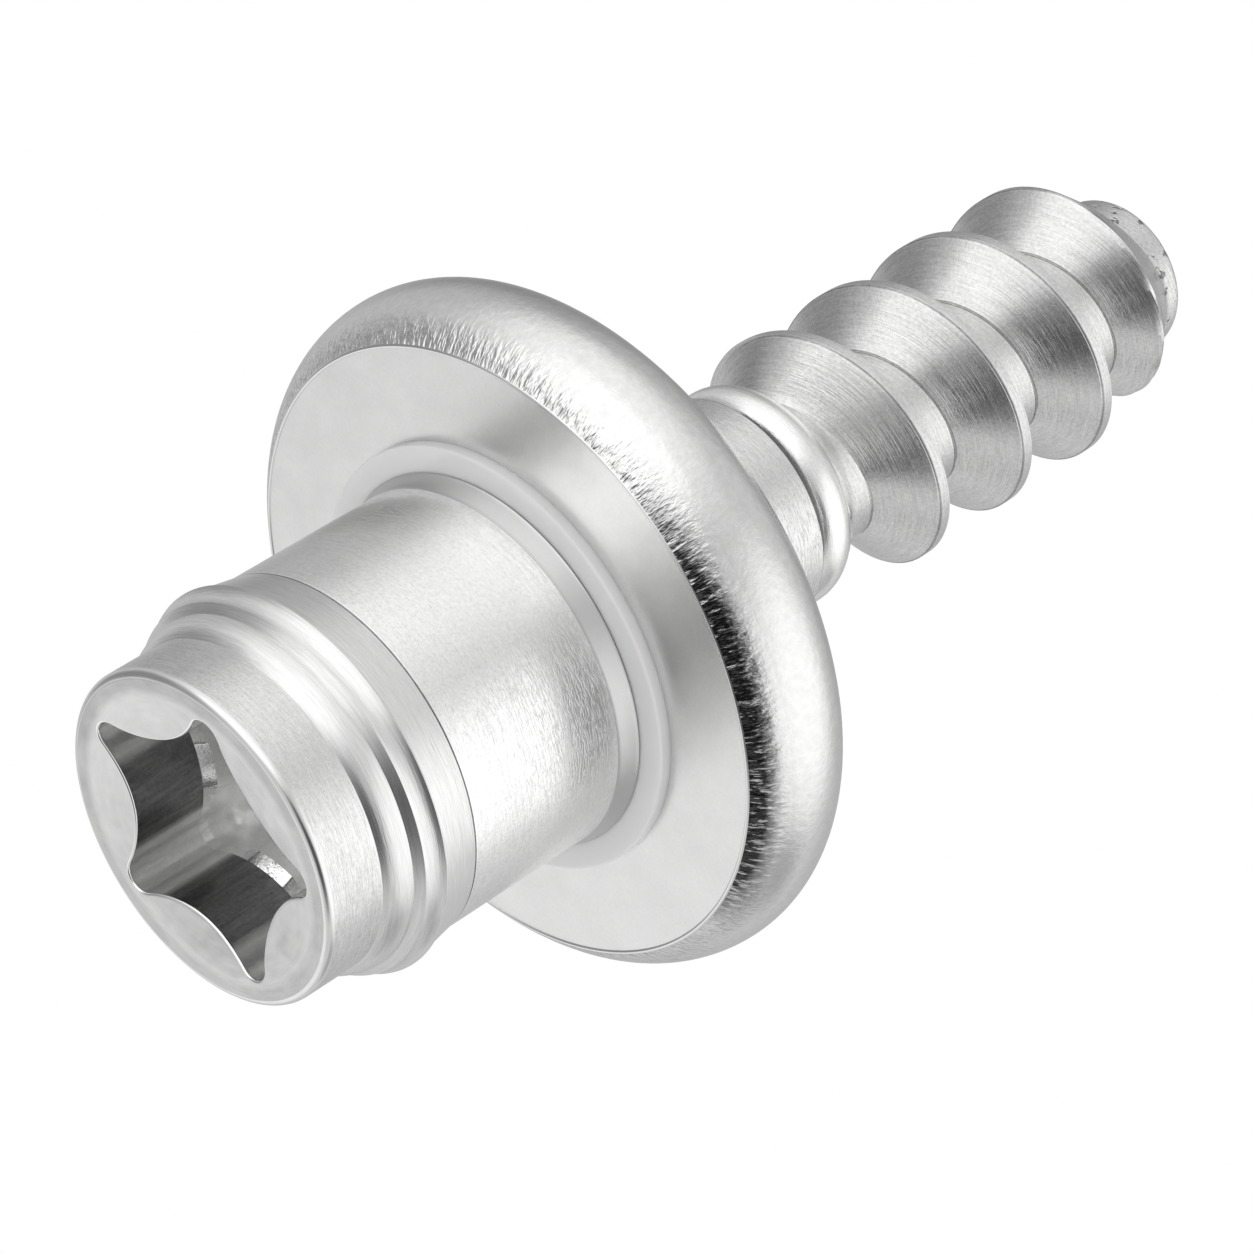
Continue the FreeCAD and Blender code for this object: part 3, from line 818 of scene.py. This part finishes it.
def ring_of_plastic():
    """Build the ring as one closed turned mesh."""
    shape = bmesh.new()
    bore_end = (RING_BORE, RING_BACK + BORE_EDGE)
    edge_end = (RING_RADIUS, RING_BACK + RING_EDGE)
    outline = [(RING_BORE, FLANGE_FACE)]
    outline += arc(bore_end, (RING_BORE + BORE_EDGE, RING_BACK), BORE_EDGE, 1, 4)
    outline += arc((RING_RADIUS - RING_EDGE, RING_BACK), edge_end, RING_EDGE, -1, 8)
    outline += [(RING_RADIUS, FLANGE_FACE), (RING_BORE, FLANGE_FACE)]
    start = add_ring(shape, turned(outline[0][0]), outline[0][1])
    add_stretch(shape, start, outline, 0)
    return finish_mesh("nylon_ring", shape, [natural_nylon()], RING_CREASE)


nylon_ring = ring_of_plastic()
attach(nylon_ring, "root")
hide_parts("plastic_ring")

# Camera: a long lens, low beside the head, so it looks up at the head's face and along the screw.
# LEAN turns the axis up from the picture's horizontal, and TILT leans the tip away from the camera.
FRAME_PIXELS = 1254
FOCAL_PIXELS = 5000
HEAD_PIXEL = (198.2, 841.2)
DISTANCE = 105.5 * MM
LEAN = math.radians(32.08)
TILT = math.radians(35.46)
SENSOR = 36.0

forward = Vector((0, math.cos(TILT), math.sin(TILT)))
right = Vector((math.sin(LEAN), -math.cos(LEAN) * math.sin(TILT), math.cos(LEAN) * math.cos(TILT)))
up = Vector((-math.cos(LEAN), -math.sin(LEAN) * math.sin(TILT), math.sin(LEAN) * math.cos(TILT)))
pixel = DISTANCE / FOCAL_PIXELS
aside = (FRAME_PIXELS / 2 - HEAD_PIXEL[0]) * pixel
above = (HEAD_PIXEL[1] - FRAME_PIXELS / 2) * pixel
camera = bpy.data.objects.new("camera", bpy.data.cameras.new("camera"))
bpy.context.collection.objects.link(camera)
camera.data.sensor_width = SENSOR
camera.data.lens = SENSOR * FOCAL_PIXELS / FRAME_PIXELS
camera.data.clip_start = 0.01
camera.data.clip_end = 10.0
place = right * aside + up * above - forward * DISTANCE
turn = Matrix((right, up, -forward)).transposed().to_4x4()
camera.matrix_world = Matrix.Translation(place) @ turn
bpy.context.scene.camera = camera

# Floor: pale paper under the head. It is clear from below, where the photograph's view is taken from, and
# it hides nothing from the lamp or the metal, but it shows the screw's shadow from above.
FLOOR_REACH = 0.6
PAPER_COLOUR = (0.86, 0.86, 0.86, 1.0)


def pale_floor():
    """Build the floor and its one-sided material."""
    mesh = bpy.data.meshes.new("floor")
    corners = [(x * FLOOR_REACH, y * FLOOR_REACH, 0) for x, y in ((-1, -1), (1, -1), (1, 1), (-1, 1))]
    mesh.from_pydata(corners, [], [(0, 1, 2, 3)])
    floor = bpy.data.objects.new("floor", mesh)
    bpy.context.collection.objects.link(floor)
    paper = bpy.data.materials.new("paper")
    paper.use_nodes = True
    tree = paper.node_tree
    shader = tree.nodes["Principled BSDF"]
    shader.inputs["Base Color"].default_value = PAPER_COLOUR
    shader.inputs["Roughness"].default_value = 0.9
    clear = tree.nodes.new("ShaderNodeBsdfTransparent")
    one_sided = tree.nodes.new("ShaderNodeMixShader")
    tree.links.new(tree.nodes.new("ShaderNodeNewGeometry").outputs["Backfacing"], one_sided.inputs[0])
    tree.links.new(shader.outputs[0], one_sided.inputs[1])
    tree.links.new(clear.outputs[0], one_sided.inputs[2])
    tree.links.new(one_sided.outputs[0], tree.nodes["Material Output"].inputs["Surface"])
    mesh.materials.append(paper)
    floor.visible_glossy = False
    floor.visible_diffuse = False
    floor.visible_transmission = False
    floor.visible_shadow = False
    return floor


pale_floor()

# Light: a tent that shows only in reflections, grey all round with soft boxes and dark cards in it, and
# one soft lamp overhead for the ring and the floor's shadow. The camera sees plain white behind the screw.
# Each shape in the tent has its direction, the angles where it starts to fade and ends, and its brightness.
TENT_GREY = 0.7
TENT_WHITE = 1.34
TENT_BLACK = 0.02
ROOM_LEVEL = 0.75
TENT_SHAPES = {
    "right_box": ((0.79, -0.53, 0.31), 0, 53, 0.6),
    "left_box": ((-0.73, -0.68, -0.02), 0, 56, 0.44),
    "left_box_foot": ((-0.53, -0.62, -0.58), 0, 43, 0.86),
    "gap_between_boxes": ((-0.13, -0.73, -0.67), 0, 33, -0.24),
    "dark_below": ((0.52, -0.32, -0.79), 6, 37, -0.61),
    "dark_side": ((0.9, 0.42, 0.03), 0, 24, -0.26),
    "far_box": ((0.2, 0.82, -0.54), 8, 30, 0.28),
    "side_card": ((-0.64, 0.6, -0.48), 8, 42, -0.42),
    "back_card": ((-0.34, 0.25, 0.91), 15, 45, -0.17),
    "upper_card": ((-0.76, 0.4, 0.52), 5, 40, -0.14),
    "top_card": ((0.06, 0.7, 0.71), 8, 55, -0.18),
}
LAMP_PLACE = (-0.12, -0.1, 0.3)
LAMP_AIM = (0, 0, 0.015)
LAMP_SIZE = 0.2
LAMP_POWER = 0.6


def tent():
    """Build the world: white for the camera, the tent for metal and glass, a plain level for the rest."""
    world = bpy.data.worlds.new("tent")
    bpy.context.scene.world = world
    world.use_nodes = True
    tree = world.node_tree
    way = tree.nodes.new("ShaderNodeTexCoord").outputs["Generated"]
    level = TENT_GREY
    for name, (direction, inner, outer, amount) in TENT_SHAPES.items():
        facing = tree.nodes.new("ShaderNodeVectorMath")
        facing.label = name
        facing.operation = "DOT_PRODUCT"
        tree.links.new(way, facing.inputs[0])
        facing.inputs[1].default_value = Vector(direction).normalized()
        fade = [math.cos(math.radians(angle)) for angle in (outer, inner)]
        shape = span(tree, facing.outputs["Value"], *fade, 0.0, amount)
        shape.node.interpolation_type = "SMOOTHSTEP"
        level = calc(tree, "ADD", shape, level)
    level = calc(tree, "MAXIMUM", calc(tree, "MINIMUM", level, TENT_WHITE), TENT_BLACK)
    sees = tree.nodes.new("ShaderNodeLightPath").outputs
    mirrored = calc(tree, "MAXIMUM", sees["Is Glossy Ray"], sees["Is Transmission Ray"])
    room = calc(tree, "SUBTRACT", 1.0, mirrored)
    strength = calc(tree, "MULTIPLY_ADD", level, mirrored, calc(tree, "MULTIPLY", room, ROOM_LEVEL))
    strength = calc(tree, "MAXIMUM", strength, sees["Is Camera Ray"])
    tree.links.new(strength, tree.nodes["Background"].inputs["Strength"])
    tree.nodes["Background"].inputs["Color"].default_value = (1, 1, 1, 1)


def overhead_lamp():
    """Add the square soft lamp, which points at the middle of the screw."""
    data = bpy.data.lights.new("overhead_lamp", "AREA")
    data.size = LAMP_SIZE
    data.energy = LAMP_POWER
    lamp = bpy.data.objects.new("overhead_lamp", data)
    bpy.context.collection.objects.link(lamp)
    lamp.location = LAMP_PLACE
    lamp.rotation_euler = (Vector(LAMP_AIM) - Vector(LAMP_PLACE)).to_track_quat("-Z", "Y").to_euler()
    lamp.visible_camera = False
    lamp.visible_glossy = False


tent()
overhead_lamp()
bpy.context.scene.view_settings.view_transform = "Standard"
